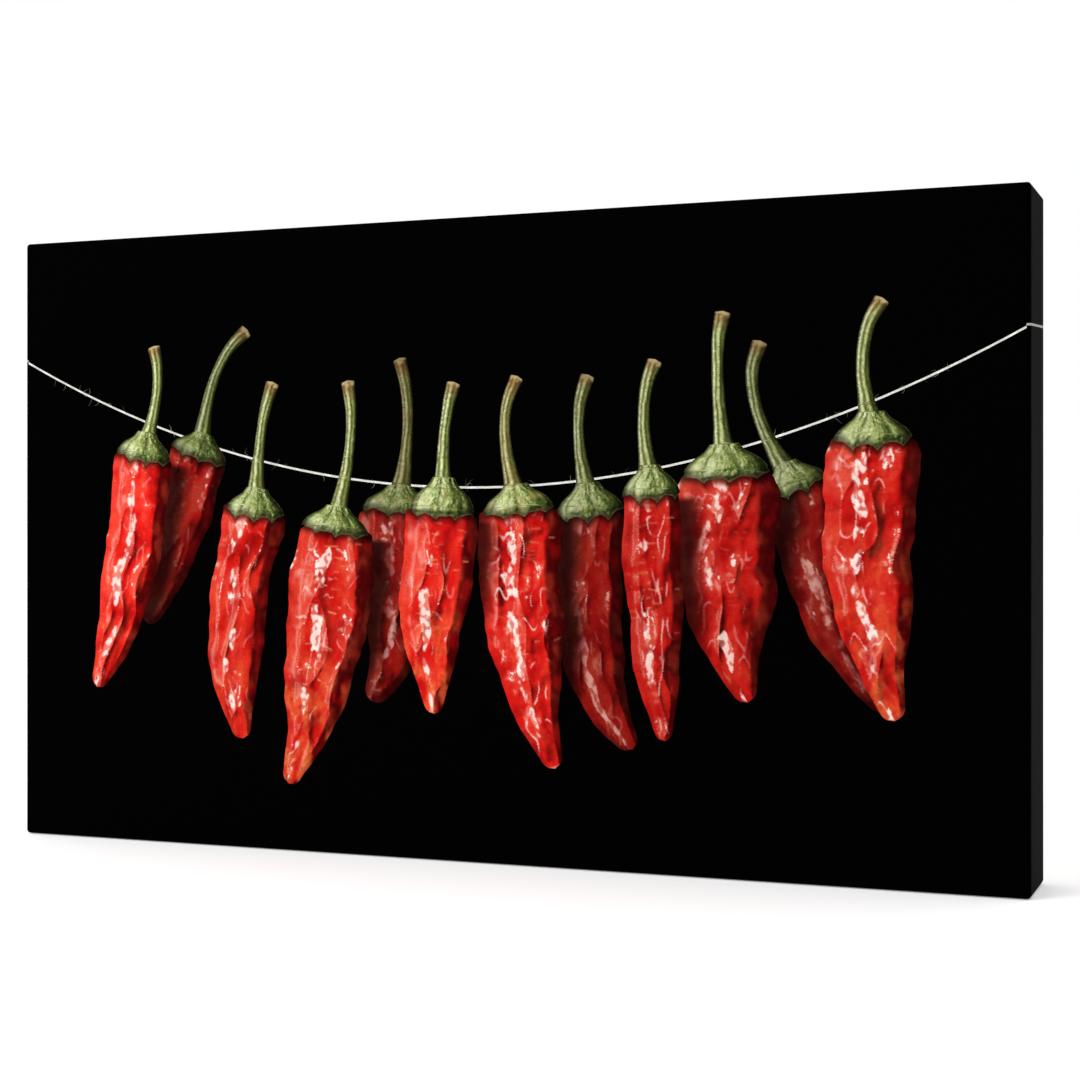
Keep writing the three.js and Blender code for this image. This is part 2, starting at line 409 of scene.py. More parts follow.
class Cap:
    """The green calyx between a pod's shoulder and its stalk."""

    PROFILE = (0.93, 1.0, 1.0, 0.92, 0.74, 0.48, 0.34)  # of the half width, going up
    ABOVE = 3.0  # how far it runs up the stalk past its rise

    def __init__(self, chilli):
        self.chilli = chilli
        self.seed = chilli.seed + 800
        self.half_width, self.rise, self.drop = chilli.cap
        self.origin = chilli.spine[0]
        self.up = unit(*(chilli.stalk_line[0] - self.origin))
        self.right = np.array([self.up[1], -self.up[0]])
        self.top = self.rise + self.ABOVE

    def width_at(self, u):
        """Half the cap's width at a height above the pod's shoulder."""
        share = np.clip((u + self.drop) / (self.top + self.drop), 0, 1)
        ragged = 1 + 0.05 * (noise(u / 2, 0 * u, self.seed + 2) - 0.5)
        return self.half_width * through(self.PROFILE, share) * ragged

    def rim(self, t):
        """How high the scalloped lower edge lies above the pod's shoulder."""
        phase = lattice(np.array(self.seed), np.array(3), 7)
        lobes = 1 - np.abs(np.sin(math.pi * (1.6 * t + phase))) ** 0.6
        ragged = 1.6 * (fractal(t * 5, 0 * t, self.seed, 2) - 0.5)
        return 1.5 - self.drop * (0.45 * (1 - t * t) + 0.65 * lobes) + ragged

    def outline(self):
        t = np.linspace(-1, 1, 60)
        lower = np.stack([t * self.width_at(self.rim(t)), self.rim(t)], 1)
        u = np.linspace(self.rim(np.array(1.0)), self.top, 26)[1:]
        right = np.stack([self.width_at(u), u], 1)
        u = np.linspace(self.rim(np.array(-1.0)), self.top, 26)[1:]
        left = np.stack([-self.width_at(u), u], 1)[::-1]
        both = np.concatenate([lower, right, left])
        return self.origin + both[:, :1] * self.right + both[:, 1:] * self.up

    def local(self, points):
        """Where points lie: t across from -1 to 1, and u above the pod's shoulder."""
        rest = points - self.origin
        u = rest @ self.up
        return np.clip(rest @ self.right / self.width_at(u), -1, 1), u

    def covers(self, points):
        t, u = self.local(points)
        return (np.abs(t) < 0.97) & (u > self.rim(t) + 0.2) & (u < self.top - 0.2)

    def height(self, points):
        t, u = self.local(points)
        x, seed = t * self.half_width, self.seed
        dome = 0.75 * self.width_at(u) * np.sqrt(1 - t * t)
        rough = 1.3 * fractal(x / 3.4, u / 3.4, seed + 4, 2) + 0.3 * noise(x, u, seed + 9)
        return dome + 0.8 * self.veins(t, u) + rough

    def veins(self, t, u):
        """0 on the veins that run down from the stalk, and 1 midway between them."""
        wander = 0.5 * noise(u / 5, t * 2, self.seed + 12)
        return np.abs(np.sin(3.6 * np.arcsin(t) + wander + self.seed))

    def paint(self, points):
        t, u = self.local(points)
        x, seed = t * self.half_width, self.seed
        lit = np.clip(relief_of(self.height, points) @ KEY_LIGHT, 0, 1)
        faded = ease(0.4, 0.8, fractal(x / 5, u / 5, seed + 14, 2))
        paint = layered(
            colour(30, 38, 14),
            ((108, 128, 58), ease(0.15, 0.75, lit)),
            ((188, 202, 132), 0.9 * ease(0.6, 0.92, lit)),
            ((238, 242, 196), 0.75 * ease(0.88, 1, lit)),
            ((52, 66, 26), 0.6 * ease(0.3, 0, self.veins(t, u))),
            ((166, 142, 84), (0.2 + 0.75 * self.chilli.dry) * faded),
            ((206, 190, 128), 0.6 * ease(1.0, 0.2, u - self.rim(t))),
        )
        deep = 0.55 + 0.45 * ease(0.5, 4.5, u - self.rim(t))
        round_off = 0.5 + 0.5 * ease(1, 0.75, np.abs(t))
        grain = 0.78 + 0.44 * fractal(x / 1.4, u / 1.4, seed + 19, 2)
        return paint * (deep * round_off * grain * self.chilli.green)[:, None]


def bent_line(start, heading, turn, length):
    """Points along a line that turns as it goes. A heading is an angle from straight down."""
    s = (np.arange(LINE_POINTS - 1) + 0.5) / (LINE_POINTS - 1)
    angle = heading + turn * (s**2 - 0.2)
    steps = np.stack([np.sin(angle), -np.cos(angle)], 1) * length / (LINE_POINTS - 1)
    return np.concatenate([[start], start + np.cumsum(steps, 0)])


class Chilli:
    """One chilli of the printed row: its size, bend and finish are drawn from its seed."""

    SHADOW_STEP = (-5.0, 4.0)  # the light comes from the upper left
    STOUT = np.array([0.84, 1.0, 1.0, 0.92, 0.72, 0.42, 0.17])  # of the half width, going down
    SLENDER = np.array([1.0, 0.93, 0.92, 0.88, 0.78, 0.56, 0.25])
    FANNED = 0.0014  # how much further out each mm of the row leans, in radians

    def __init__(self, seed, x, depth):
        draw = np.random.default_rng(seed)
        self.seed = seed
        self.x = x
        self.depth = depth  # from 0 at the back of the row to 1 at its front
        self.in_front = []
        self.grow(draw)
        self.choose_finish(draw)
        self.parts = {"pod": Pod(self), "stalk": Stalk(self), "cap": Cap(self)}

    def grow(self, draw):
        """The lines and widths of the pod, its stalk and its cap."""
        shoulder = np.array([self.x, string_height(self.x) - draw.uniform(8, 30)])
        lean = self.FANNED * self.x + draw.normal(0, 0.09)
        slender = draw.uniform(0, 1)
        half_width = draw.uniform(20.5, 24.5) - 7 * slender
        self.spine = bent_line(shoulder, lean, draw.normal(0, 0.45), draw.uniform(84, 126))
        self.half_widths = half_width * (self.STOUT + slender * (self.SLENDER - self.STOUT))
        rise = draw.uniform(8, 15)
        up = np.array([-math.sin(lean), math.cos(lean)])
        stalk_turn = draw.uniform(0.3, 1.1) * draw.choice([-1, 1])
        stalk_start = shoulder + 0.6 * rise * up
        self.stalk_line = bent_line(stalk_start, math.pi + lean, stalk_turn, draw.uniform(46, 68))
        self.cap = (0.96 * self.half_widths[0], rise, draw.uniform(3, 6))

    def choose_finish(self, draw):
        """How bright, orange, scarred, wrinkled, dry and green it is."""
        self.light = 0.55 + 0.5 * self.depth + draw.uniform(0, 0.1)
        self.orange = 0.1 + 0.8 * max(draw.uniform(-2, 1), 0)
        self.scarred = max(draw.uniform(-0.6, 1), 0)
        self.wrinkled = max(draw.uniform(-0.4, 0.7), 0)
        self.dry = 0.1 + 0.8 * max(draw.uniform(-2, 1), 0)
        self.green = 0.75 + 0.25 * self.depth
        self.stalk_behind = draw.uniform() < 0.2

    def lit(self, points):
        """How much light reaches the pod past its own cap and the pods in front."""
        t, u = self.parts["cap"].local(points)
        open_share = 0.3 + 0.7 * ease(0, 4.5, self.parts["cap"].rim(t) - u)
        for other in self.in_front:
            s, t, half_width = other.parts["pod"].local(points + self.SHADOW_STEP)
            off = (np.abs(t) - 1) * half_width
            beside = ease(0, 0.03, s) * ease(1, 0.97, s)
            open_share = open_share * (1 - 0.8 * ease(9, -2, off) * beside)
        return open_share


POD_COUNT = 12
ROW_REACH = 176.0  # from the middle to the outermost pods
ROW_SEED = 10
NEIGHBOUR_REACH = 50.0  # between pods, beyond which neither shades the other


def hang_row():
    """The chillies from back to front: every third one hangs behind its neighbours."""
    draw = np.random.default_rng(ROW_SEED)
    row = []
    for number, x in enumerate(np.linspace(-ROW_REACH, ROW_REACH, POD_COUNT)):
        depth = draw.uniform(0, 0.3) if number % 3 == 1 else draw.uniform(0.6, 1)
        row.append(Chilli(31 * number + 1000 * ROW_SEED, x + draw.uniform(-8, 8), depth))
    row.sort(key=lambda chilli: chilli.depth)
    for order, chilli in enumerate(row):
        chilli.in_front = [o for o in row[order + 1 :] if abs(o.x - chilli.x) < NEIGHBOUR_REACH]
    return row


CHILLIES = hang_row()

# ---- The string and its fibres ----


class String:
    """The thin off-white string that the stalks hang on."""

    def __init__(self, reach):
        self.reach = reach

    def outline(self):
        x = np.linspace(-self.reach, self.reach, 160)
        lower = np.stack([x, string_height(x) - STRING_HALF_WIDTH], 1)
        upper = np.stack([x, string_height(x) + STRING_HALF_WIDTH], 1)[::-1]
        return np.concatenate([lower, upper])

    def covers(self, points):
        off = np.abs(points[:, 1] - string_height(points[:, 0]))
        return (off < 0.5 * STRING_HALF_WIDTH) & (np.abs(points[:, 0]) < self.reach - 1)

    def paint(self, points):
        x, z = points.T
        across = (z - string_height(x)) / STRING_HALF_WIDTH
        twist = 0.5 + 0.5 * np.sin(2 * math.pi * (x / 1.9 + across * 0.25))
        tone = (0.84 + 0.16 * twist) * (0.82 + 0.3 * noise(x / 5, 0 * x, 11))
        return colour(250, 248, 240) * tone[:, None]


class Hair:
    """A stray fibre of the string: a thin curved wisp."""

    HALF_WIDTH = 0.14

    def __init__(self, x, length, lean, curl, tone):
        s = np.linspace(0, 1, 6)
        angle = lean + curl * s
        steps = np.stack([np.cos(angle), np.sin(angle)], 1) * length / len(s)
        start = np.array([x, string_height(x)])
        self.line = start + np.cumsum(steps, 0)
        self.side = np.stack([-np.sin(angle), np.cos(angle)], 1)
        self.tone = tone

    def outline(self):
        width = self.HALF_WIDTH * np.linspace(1, 0.3, len(self.line))[:, None]
        return np.concatenate([self.line - width * self.side, (self.line + width * self.side)[::-1]])

    def covers(self, points):
        return np.zeros(len(points), bool)

    def paint(self, points):
        return colour(226, 222, 212) * np.full((len(points), 1), self.tone)


HAIR_TUFTS = 40


def string_hairs(count):
    """Wisps in loose tufts along the string."""
    draw = np.random.default_rng(5)
    hairs = []
    for _ in range(count):
        tuft = draw.uniform(-235, 235)
        for _ in range(draw.integers(1, 5)):
            lean = draw.choice([-1, 1]) * draw.uniform(0.3, 2.6)
            x, length = tuft + draw.normal(0, 2.5), draw.uniform(1.5, 5.0)
            hairs.append(Hair(x, length, lean, draw.normal(0, 1.2), draw.uniform(0.2, 0.55)))
    return hairs


def printed_shapes(reach):
    """All the shapes of the picture, from back to front."""
    behind = [chilli.parts["stalk"] for chilli in CHILLIES if chilli.stalk_behind]
    shapes = [*string_hairs(HAIR_TUFTS), String(reach), *behind]
    for chilli in CHILLIES:
        names = ["pod", "cap"] if chilli.stalk_behind else ["pod", "stalk", "cap"]
        shapes += [chilli.parts[name] for name in names]
    return shapes


# ---- The canvas's columns and rows ----
# The sheet is a ring of columns that all run from the face's border over the front edge,
# along the side, round the back edge and over the hem, and then back along the inside.


class Columns:
    """The columns in order round the picture, anticlockwise as seen from the front."""

    CORNER_STEPS = 4
    FOLDED_LENGTH = 46.0  # of the top and bottom at each end, where the tucked folds lie

    def __init__(self, half_width, half_height):
        self.half = np.array([half_width, half_height])
        places = []
        for turn in range(4):
            places += self.side_places(turn) + self.corner_places(turn)
        self.share = np.array([share for share, _, _ in places])  # of the way out
        self.out = np.array([out for _, out, _ in places])  # the way that the side faces
        self.string = np.array([string for _, _, string in places])  # up to the next column

    def core(self, inset):
        return self.half - inset - max(EDGE_RADIUS - inset, SHARP_CORNER)

    def side_places(self, turn):
        """The columns of the right, top, left or bottom side, without its ends."""
        out = [(1, 0), (0, 1), (-1, 0), (0, -1)][turn]
        if turn % 2:
            length = self.core(EDGE_RADIUS)[0]
            along, string_at = self.level_places(length), None
        else:
            length = self.core(EDGE_RADIUS)[1]
            along, string_at = self.upright_places(length, out[0])
        if turn in (1, 2):
            along = -along
        places = []
        for number, place in enumerate(along):
            share = (place / length, out[1]) if turn % 2 else (out[0], place / length)
            places.append((share, out, number == string_at))
        return places

    def level_places(self, length):
        """Places along the top or bottom, closest together at the corner folds."""
        near = np.concatenate([np.arange(0.25, 4, 0.35), np.arange(4.5, self.FOLDED_LENGTH, 1.5)])
        middle = np.linspace(self.FOLDED_LENGTH, 2 * length - self.FOLDED_LENGTH, 30)[1:-1]
        return np.concatenate([near, middle, 2 * length - near[::-1]]) - length

    def upright_places(self, length, facing):
        """Places along the left or right side, and which of them starts the string."""
        middle = string_height(facing * self.half[0]) - MIDDLE_Z
        lower, upper = middle - STRING_HALF_WIDTH, middle + STRING_HALF_WIDTH
        below = np.linspace(-length, lower - 3, 26)[1:]
        above = np.linspace(upper + 3, length, 9)[:-1]
        along = np.concatenate([below, [lower, upper], above])
        if facing > 0:
            return along, len(below)
        return -along[::-1], len(above)

    def corner_places(self, turn):
        share = [(1, 1), (-1, 1), (-1, -1), (1, -1)][turn]
        angles = (turn + np.linspace(0, 1, self.CORNER_STEPS + 1)) * math.pi / 2
        return [(share, (math.cos(angle), math.sin(angle)), False) for angle in angles]

    def ring(self, inset):
        """The columns' x and z where the sheet is drawn in from its outside by inset."""
        radius = max(EDGE_RADIUS - inset, SHARP_CORNER)
        return self.share * self.core(inset) + self.out * radius + (0, MIDDLE_Z)


def rounded_edge(radius, steps):
    """How far in, how deep and how far along each step of a rounded edge is."""
    angle = np.linspace(0, math.pi / 2, steps + 1)
    return np.stack([radius * (1 - np.sin(angle)), radius * (1 - np.cos(angle)), radius * angle], 1)


FLAT_DEPTH = SIDE_DEPTH - 2 * EDGE_RADIUS
EDGE_RUN = EDGE_RADIUS * math.pi / 2
HEM_START = 2 * EDGE_RUN + FLAT_DEPTH
WRAP_RUN = HEM_START + HEM_WIDTH - EDGE_RADIUS  # from the face's border to the hem's edge
INK_RUN = HEM_START + INKED_HEM - EDGE_RADIUS


def outside_rows():
    """The outer surface's rows: how far in, the place in y and how far along the sheet."""
    edge = rounded_edge(EDGE_RADIUS, 6)
    rows = [(inset, FRONT_Y + deep, run) for inset, deep, run in edge]
    for step in np.linspace(0, FLAT_DEPTH, 22)[1:-1]:
        rows.append((0, FRONT_Y + EDGE_RADIUS + step, EDGE_RUN + step))
    rows += [(inset, BACK_Y - deep, HEM_START - run) for inset, deep, run in edge[::-1]]
    hem = [2.8, 3.8, 5.0, INKED_HEM, INKED_HEM + 0.2, 8.0, 10.0, 12.0, HEM_WIDTH]
    rows += [(inset, BACK_Y, HEM_START + inset - EDGE_RADIUS) for inset in hem]
    return rows[1:]


def inside_rows():
    """The inner surface's rows, from the hem's edge back to the face."""
    edge = rounded_edge(EDGE_RADIUS - SHEET_THICKNESS, 3) + (SHEET_THICKNESS, SHEET_THICKNESS, 0)
    start = WRAP_RUN - 0.6
    rows = [(HEM_WIDTH - step, BACK_Y - SHEET_THICKNESS, start - step) for step in (0, 6)]
    rows += [(inset, BACK_Y - deep, HEM_START - 0.6 - run) for inset, deep, run in edge]
    for step in (FLAT_DEPTH / 3, 2 * FLAT_DEPTH / 3):
        rows.append((SHEET_THICKNESS, BACK_Y - EDGE_RADIUS - step, HEM_START - 4 - step))
    rows += [(inset, FRONT_Y + deep, 0.3 + run) for inset, deep, run in edge[::-1]]
    return rows


def fold_relief(columns, inset, deep):
    """How far the tucked corner folds lift the top and bottom in one row."""
    level = np.abs(columns.out[:, 1]) ** 8
    from_end = columns.half[0] - np.abs(columns.ring(0)[:, 0])
    on_side = ease(0.4, 3.0, deep) * ease(SIDE_DEPTH - 0.4, SIDE_DEPTH - 3.0, deep)
    tucked = ease(deep + 1.2, deep - 1.2, from_end)
    seam = ease(0.45, 0.0, np.abs(from_end - 1.6))
    pull = noise(from_end / 9, deep / 15 + 0 * from_end, 71) - 0.5
    relief = np.minimum(FOLD_RELIEF * tucked - 0.3 * seam + 0.1 * pull, FOLD_RELIEF)
    return level * on_side * relief if inset == 0 else 0 * level


def hem_relief(columns, ring, inset):
    """How far the mitred folds lift the hem at its corners in one row."""
    to_side = columns.half - np.abs(ring - (0, MIDDLE_Z))
    near = ease(HEM_WIDTH + 9, HEM_WIDTH - 1, to_side.max(1))
    fold = ease(-0.2, 0.2, to_side[:, 0] - to_side[:, 1])
    pulled = 0.12 * noise(ring[:, 0] / 12, ring[:, 1] / 12, 83)
    return ease(EDGE_RADIUS, EDGE_RADIUS + 1.5, inset) * (HEM_FOLD_RELIEF * near * fold + pulled)


def follow_string(columns, ring, run):
    """Bends the columns near the string so that it runs on straight over the side."""
    border = columns.ring(EDGE_RADIUS)
    near = ease(40, 8, np.abs(border[:, 1] - string_height(border[:, 0])))
    straight = columns.ring(0)[:, 1] + STRING_RISE_ON_SIDE * run / SIDE_DEPTH
    share = near * np.abs(columns.out[:, 0]) ** 8
    ring[:, 1] += share * (straight - ring[:, 1])


# ---- The mesh points that carry the picture ----


class FineGrid:
    """A triangular grid over one shape that is finer where its colours change quickly.

    A grid point is its two whole-numbered steps (a, b) along directions 60 degrees apart.
    Points with even steps are always kept. Each of the others lies midway between two of
    those, and is kept where their mean colour isn't close enough to its own.
    """

    MIDWAY = {(1, 0): (1, 0), (0, 1): (0, 1), (1, 1): (1, -1)}  # odd steps: way to its pair

    def __init__(self, shape, spacing):
        outline = shape.outline()
        low, high = outline.min(0), outline.max(0)
        rise = spacing * math.sqrt(0.75)
        b = np.arange(math.floor(low[1] / rise) // 2 * 2 - 2, math.ceil(high[1] / rise) + 3)
        start = math.floor(low[0] / spacing - b[-1] / 2) // 2 * 2 - 2
        a = np.arange(start, math.ceil(high[0] / spacing - b[0] / 2) + 3)
        self.a, self.b = np.meshgrid(a, b, indexing="ij")
        self.places = np.stack([(self.a + self.b / 2) * spacing, self.b * rise], 2)
        inside = ((self.places >= low) & (self.places <= high)).all(2)
        inside[inside] = shape.covers(self.places[inside])
        inside[:2], inside[-2:], inside[:, :2], inside[:, -2:] = False, False, False, False
        self.inside = inside
        self.colours = np.full((*inside.shape, 3), np.nan)
        if inside.any():
            self.colours[inside] = shape.paint(self.places[inside])

    def kept(self, tolerance):
        even = (self.a % 2 == 0) & (self.b % 2 == 0)
        keep = self.inside & even
        for (odd_a, odd_b), (da, db) in self.MIDWAY.items():
            mine = self.inside & (self.a % 2 == odd_a) & (self.b % 2 == odd_b)
            i, j = np.nonzero(mine)
            pair = (self.colours[i + da, j + db] + self.colours[i - da, j - db]) / 2
            off = np.abs(self.colours[i, j] - pair).max(1)
            worth = np.isnan(off) | (off > tolerance)
            keep[i[worth], j[worth]] = True
        return self.places[keep]


def points_of_picture(shapes):
    """Grid points inside the shapes, without the ones hidden behind later shapes."""
    found = []
    for number, shape in enumerate(shapes):
        points = FineGrid(shape, PRINT_SPACING).kept(COLOUR_TOLERANCE)
        for later in shapes[number + 1 :]:
            outline = later.outline()
            near = ((points >= outline.min(0)) & (points <= outline.max(0))).all(1)
            hidden = np.zeros(len(points), bool)
            if near.any():
                hidden[near] = later.covers(points[near])
            points = points[~hidden]
        found.append(points)
    return np.concatenate(found)


def anticlockwise(outline):
    x, z = outline.T
    area = (x * np.roll(z, -1) - np.roll(x, -1) * z).sum()
    return outline if area > 0 else outline[::-1]


class Triangles:
    """Triangles inside a border, which follow outlines and use extra points."""

    def __init__(self, border, outlines, extra):
        places, loops, count = [border], [], len(border)
        for outline in outlines:
            loops.append(list(range(count, count + len(outline))))
            places.append(anticlockwise(outline))
            count += len(outline)
        places.append(extra)
        edges = [(i, (i + 1) % len(border)) for i in range(len(border))]
        made = delaunay_2d_cdt(np.concatenate(places).tolist(), edges, loops, 0, 1e-5)
        self.places = np.array([tuple(place) for place in made[0]])
        self.corners = np.array(made[2])
        self.outline_of = np.array([max(inside, default=-1) for inside in made[5]])
        new_of = {old: new for new, olds in enumerate(made[3]) for old in olds}
        self.border = np.array([new_of[i] for i in range(len(border))])


# ---- The canvas ----


def linear(srgb):
    srgb = np.clip(srgb, 0, 1)
    return np.where(srgb < 0.04045, srgb / 12.92, ((srgb + 0.055) / 1.055) ** 2.4)


class Sheet:
    """Gathers the sheet's mesh with its colours, its weave and its map for baking."""

    def __init__(self):
        self.points, self.cloth = [], []
        self.faces, self.colours, self.inked, self.map_places = [], [], [], []
        self.count = 0

    def add_points(self, places, y, cloth):
        """Adds points, whose cloth place is where they'd lie with the sheet spread flat."""
        first = self.count
        y = np.broadcast_to(y, len(places))
        self.points.append(np.stack([places[:, 0], y, places[:, 1]], 1))
        self.cloth.append(cloth)
        self.count += len(places)
        return np.arange(first, self.count)

    def add_faces(self, faces, colours, inked, inner=False):
        """Adds faces, with a colour for each corner of each face."""
        self.faces += faces.tolist()
        self.colours.append(np.broadcast_to(colours, (*faces.shape, 3)).reshape(-1, 3))
        self.inked.append(np.full(faces.size, float(inked)))
        places = np.concatenate(self.cloth)[faces.ravel()]
        self.map_places.append(self.on_map(places, inner))

    def add_ring(self, before, after, colours, inked, inner=False):
        """Adds the quads between one row of points and the next."""
        quads = np.stack([before, after, np.roll(after, -1), np.roll(before, -1)], 1)
        self.add_faces(quads, colours, inked, inner)

    def on_map(self, places, inner):
        """Places on the bake map: the outer side large, and the inner side above it."""
        reach = WRAP_RUN + 2
        low = np.array([-HALF_WIDTH - reach, MIDDLE_Z - HALF_HEIGHT - reach])
        span = 2 * (HALF_WIDTH + reach)
        flat = (places - low) / span
        outer_top = 2 * (HALF_HEIGHT + reach) / span
        inner_scale = (1 - outer_top) / outer_top
        return (0, outer_top) + inner_scale * flat if inner else flat

    def build(self, name):
        mesh = bpy.data.meshes.new(name)
        mesh.from_pydata((np.concatenate(self.points) * MM).tolist(), [], self.faces)
        ink = mesh.color_attributes.new("ink", "FLOAT_COLOR", "CORNER")
        rgba = np.column_stack([np.concatenate(self.colours), np.concatenate(self.inked)])
        ink.data.foreach_set("color", rgba.astype(np.float32).ravel())
        weave = mesh.attributes.new("cloth", "FLOAT_VECTOR", "POINT")
        flat = np.concatenate(self.cloth)
        flat = np.column_stack([flat, np.zeros(len(flat))])
        weave.data.foreach_set("vector", flat.astype(np.float32).ravel())
        bake = mesh.uv_layers.new(name="OFBake")
        bake.data.foreach_set("uv", np.concatenate(self.map_places).astype(np.float32).ravel())
        mesh.shade_smooth()
        mesh.set_sharp_from_angle(angle=math.radians(50))
        return mesh


def add_face(sheet, columns):
    """The printed face. Returns its border's points."""
    border = columns.ring(EDGE_RADIUS)
    shapes = printed_shapes(border[:, 0].max())
    outlines = [shape.outline() for shape in shapes]
    face = Triangles(border, outlines, points_of_picture(shapes))
    colours = np.tile(BLACK_INK, (len(face.corners), 3, 1))
    for number, shape in enumerate(shapes):
        mine = face.outline_of == number
        if mine.any():
            used, back = np.unique(face.corners[mine], return_inverse=True)
            paint = np.maximum(shape.paint(face.places[used]), BLACK_INK)
            colours[mine] = paint[back].reshape(-1, 3, 3)
    points = sheet.add_points(face.places, FRONT_Y, face.places)
    sheet.add_faces(points[face.corners], linear(colours) * INK_STRENGTH, inked=True)
    return points[face.border]


def add_outside(sheet, columns, before):
    """The wrapped sides and the outer side of the hem. Returns the hem edge's points."""
    border = columns.ring(EDGE_RADIUS)
    on_string = linear(STRING_ON_SIDE) * INK_STRENGTH
    ground = linear(BLACK_INK) * INK_STRENGTH
    printed = np.where(columns.string[:, None], on_string, ground)[:, None]
    for inset, y, run in outside_rows():
        ring = columns.ring(inset)
        ring += columns.out * fold_relief(columns, inset, y - FRONT_Y)[:, None]
        follow_string(columns, ring, run)
        y = y + hem_relief(columns, ring, inset) if y == BACK_Y else y
        after = sheet.add_points(ring, y, border + columns.out * run)
        is_inked = run <= INK_RUN + 0.01
        sheet.add_ring(before, after, printed if is_inked else linear(RAW_CLOTH), is_inked)
        before = after
    return before


def add_inside(sheet, columns, before):
    """The unprinted inner side, from the hem's edge back to the face."""
    border = columns.ring(EDGE_RADIUS)
    raw = linear(RAW_CLOTH)
    for inset, y, run in inside_rows():
        ring = columns.ring(inset)
        after = sheet.add_points(ring, y, border + columns.out * run)
        sheet.add_ring(before, after, raw, inked=False, inner=True)
        before = after
    low, high = ring.min(0) + INNER_SPACING, ring.max(0) - INNER_SPACING / 2
    x, z = np.meshgrid(*(np.arange(low[k], high[k], INNER_SPACING) for k in (0, 1)))
    face = Triangles(ring, [], np.stack([x.ravel(), z.ravel()], 1))
    points = sheet.add_points(face.places, y, face.places)
    points[face.border] = before
    sheet.add_faces(points[face.corners[:, ::-1]], raw, inked=False, inner=True)


def make_canvas():
    """The whole sheet as one closed mesh, with its picture in a colour attribute."""
    sheet = Sheet()
    columns = Columns(HALF_WIDTH, HALF_HEIGHT - FOLD_RELIEF)
    hem_edge = add_outside(sheet, columns, add_face(sheet, columns))
    add_inside(sheet, columns, hem_edge)
    mesh = sheet.build("canvas_print")
    clear_loose_points(mesh)
    return add_object("canvas_print", mesh)


def clear_loose_points(mesh):
    """Takes away points that no face uses."""
    work = bmesh.new()
    work.from_mesh(mesh)
    loose = [point for point in work.verts if not point.link_faces]
    bmesh.ops.delete(work, geom=loose, context="VERTS")
    work.to_mesh(mesh)
    work.free()


# ---- Materials ----


class Nodes:
    """A short way to write a material's node tree."""

    def __init__(self, name):
        self.material = bpy.data.materials.new(name)
        self.material.use_nodes = True
        self.tree = self.material.node_tree
        self.shader = self.tree.nodes["Principled BSDF"]

    def add(self, kind, inputs=(), **settings):
        node = self.tree.nodes.new(kind)
        for key, value in settings.items():
            setattr(node, key, value)
        for key, value in dict(inputs).items():
            self.put(node.inputs[key], value)
        return node

    def put(self, socket, value):
        if isinstance(value, bpy.types.NodeSocket):
            self.tree.links.new(value, socket)
        else:
            socket.default_value = value

    def finish(self, inputs):
        """Sets the shader's own sockets and returns the material."""
        for key, value in inputs.items():
            self.put(self.shader.inputs[key], value)
        return self.material

    def math(self, operation, a, b=0.0):
        return self.add("ShaderNodeMath", {0: a, 1: b}, operation=operation).outputs[0]

    def blend(self, share, a, b, kind="MIX"):
        node = self.add("ShaderNodeMix", data_type="RGBA", blend_type=kind)
        self.put(node.inputs["Factor"], share)
        self.put(node.inputs["A"], a)
        self.put(node.inputs["B"], b)
        return node.outputs["Result"]

    def ramp(self, value, low, high, to_low=0.0, to_high=1.0):
        ends = {"From Min": low, "From Max": high, "To Min": to_low, "To Max": to_high}
        return self.add("ShaderNodeMapRange", {"Value": value, **ends}).outputs["Result"]

    def noise(self, vector, scale, detail=2.0):
        inputs = {"Vector": vector, "Scale": scale, "Detail": detail}
        return self.add("ShaderNodeTexNoise", inputs).outputs["Fac"]

    def stretch(self, vector, scale, offset=(0.0, 0.0, 0.0)):
        inputs = {"Vector": vector, "Scale": scale, "Location": offset}
        return self.add("ShaderNodeMapping", inputs).outputs["Vector"]


THREAD_PITCH = 0.5  # mm between threads of the weave


def canvas_material():
    n = Nodes("printed_canvas")
    ink = n.add("ShaderNodeAttribute", attribute_name="ink")
    cloth = n.add("ShaderNodeAttribute", attribute_name="cloth").outputs["Vector"]
    wobble = n.noise(cloth, 0.06, 3.0)
    parts = n.add("ShaderNodeSeparateXYZ", {0: cloth})
    waves = []
    for axis in ("X", "Y"):
        place = n.math("MULTIPLY", parts.outputs[axis], math.pi / THREAD_PITCH)
        place = n.math("ADD", place, n.math("MULTIPLY", wobble, 14.0))
        waves.append(n.math("SINE", place))
    weave = n.math("MULTIPLY", waves[0], waves[1])
    slub_x = n.noise(n.stretch(cloth, (0.05, 1.6, 1)), 1.0)
    slub_z = n.noise(n.stretch(cloth, (1.6, 0.05, 1)), 1.0)
    slub = n.math("ADD", slub_x, slub_z)
    height = n.math("ADD", n.math("MULTIPLY", weave, 0.5), slub)
    bump = n.add("ShaderNodeBump", {"Strength": 0.5, "Distance": 0.00012, "Height": height})

    # Painted shade: the ink is darkened in the weave's valleys, and made lighter or darker along the
    # slubs
    valley = n.ramp(weave, -1.0, 0.6, 0.86, 1.0)
    tone = n.math("MULTIPLY", valley, n.ramp(slub, 0.6, 1.4, 0.94, 1.05))
    shaded = n.blend(1.0, ink.outputs["Color"], tone, "MULTIPLY")
    roughness = n.ramp(ink.outputs["Alpha"], 0.0, 1.0, 0.92, 0.62)
    surface = {"Base Color": shaded, "Roughness": roughness, "Normal": bump.outputs["Normal"]}
    return n.finish({**surface, "Specular IOR Level": 0.004})


